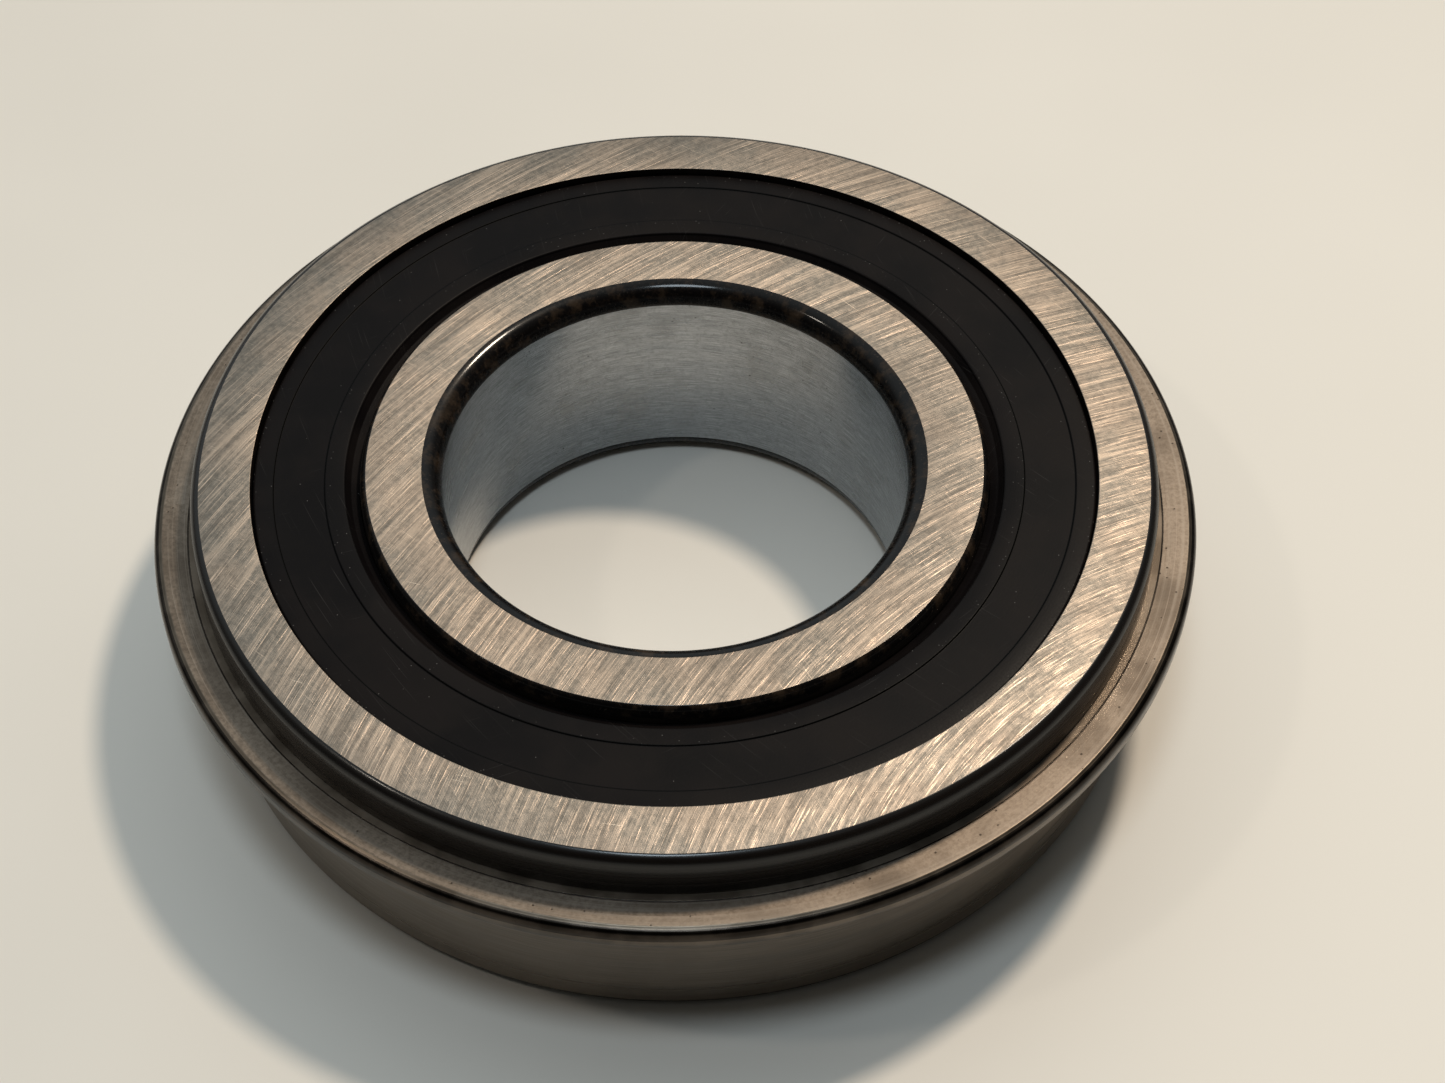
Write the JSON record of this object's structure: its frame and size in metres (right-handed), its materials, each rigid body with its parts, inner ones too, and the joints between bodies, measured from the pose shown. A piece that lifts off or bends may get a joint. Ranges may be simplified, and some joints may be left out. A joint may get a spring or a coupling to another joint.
{
  "type": "sealed deep groove ball bearing",
  "caption": "Sealed single-row deep groove ball bearing with a snap ring in its outer ring; ground side faces, black rubber seals, plain bore, caged balls inside.",
  "frame": {"origin": "on the bore's axis, midway between the two side faces", "axes": "+Z along the bore's axis towards the snap ring side; the snap ring's gap faces +Y"},
  "size_m": [0.0675, 0.0674, 0.016],
  "materials": {
    "ring_steel": "ground",
    "snap_ring_steel": "tumbled",
    "seal_rubber": "satin black",
    "insert_steel": "plain sheet",
    "cage_steel": "plain sheet",
    "ball_steel": "polished"
  },
  "bodies": {
    "outer": {"outer_ring": "ring_steel", "upper_seal_rubber": "seal_rubber", "upper_seal_insert": "insert_steel", "lower_seal_rubber": "seal_rubber", "lower_seal_insert": "insert_steel"},
    "inner": {"inner_ring": "ring_steel"},
    "snap_ring": {"snap_ring": "snap_ring_steel"},
    "cage": {"upper_cage_half": "cage_steel", "lower_cage_half": "cage_steel", "cage_rivets": "cage_steel"},
    "ball_1": {"ball_1": "ball_steel"},
    "ball_2": {"ball_2": "ball_steel"},
    "ball_3": {"ball_3": "ball_steel"},
    "ball_4": {"ball_4": "ball_steel"},
    "ball_5": {"ball_5": "ball_steel"},
    "ball_6": {"ball_6": "ball_steel"},
    "ball_7": {"ball_7": "ball_steel"},
    "ball_8": {"ball_8": "ball_steel"},
    "ball_9": {"ball_9": "ball_steel"}
  },
  "joints": [
    {"name": "inner_spin", "type": "hinge", "parent": "outer", "child": "inner", "pos_m": [0, 0, 0], "axis": [0, 0, 1], "continuous": true},
    {"name": "cage_spin", "type": "hinge", "parent": "outer", "child": "cage", "pos_m": [0, 0, 0], "axis": [0, 0, 1], "continuous": true},
    {"name": "snap_ring_turn", "type": "hinge", "parent": "outer", "child": "snap_ring", "pos_m": [0, 0, 0], "axis": [0, 0, 1], "continuous": true},
    {"name": "ball_1_spin", "type": "hinge", "parent": "cage", "child": "ball_1", "pos_m": [0.023, 0, 0], "axis": [0, 0, 1], "continuous": true},
    {"name": "ball_2_spin", "type": "hinge", "parent": "cage", "child": "ball_2", "pos_m": [0.01762, 0.01478, 0], "axis": [0, 0, 1], "continuous": true},
    {"name": "ball_3_spin", "type": "hinge", "parent": "cage", "child": "ball_3", "pos_m": [0.00399, 0.02265, 0], "axis": [0, 0, 1], "continuous": true},
    {"name": "ball_4_spin", "type": "hinge", "parent": "cage", "child": "ball_4", "pos_m": [-0.0115, 0.01992, 0], "axis": [0, 0, 1], "continuous": true},
    {"name": "ball_5_spin", "type": "hinge", "parent": "cage", "child": "ball_5", "pos_m": [-0.02161, 0.00787, 0], "axis": [0, 0, 1], "continuous": true},
    {"name": "ball_6_spin", "type": "hinge", "parent": "cage", "child": "ball_6", "pos_m": [-0.02161, -0.00787, 0], "axis": [0, 0, 1], "continuous": true},
    {"name": "ball_7_spin", "type": "hinge", "parent": "cage", "child": "ball_7", "pos_m": [-0.0115, -0.01992, 0], "axis": [0, 0, 1], "continuous": true},
    {"name": "ball_8_spin", "type": "hinge", "parent": "cage", "child": "ball_8", "pos_m": [0.00399, -0.02265, 0], "axis": [0, 0, 1], "continuous": true},
    {"name": "ball_9_spin", "type": "hinge", "parent": "cage", "child": "ball_9", "pos_m": [0.01762, -0.01478, 0], "axis": [0, 0, 1], "continuous": true}
  ],
  "couplings": [
    {"joint": "cage_spin", "follows": "inner_spin", "ratio": 0.39647},
    {"joint": "ball_1_spin", "follows": "inner_spin", "ratio": -2.3112},
    {"joint": "ball_2_spin", "follows": "inner_spin", "ratio": -2.3112},
    {"joint": "ball_3_spin", "follows": "inner_spin", "ratio": -2.3112},
    {"joint": "ball_4_spin", "follows": "inner_spin", "ratio": -2.3112},
    {"joint": "ball_5_spin", "follows": "inner_spin", "ratio": -2.3112},
    {"joint": "ball_6_spin", "follows": "inner_spin", "ratio": -2.3112},
    {"joint": "ball_7_spin", "follows": "inner_spin", "ratio": -2.3112},
    {"joint": "ball_8_spin", "follows": "inner_spin", "ratio": -2.3112},
    {"joint": "ball_9_spin", "follows": "inner_spin", "ratio": -2.3112}
  ]
}
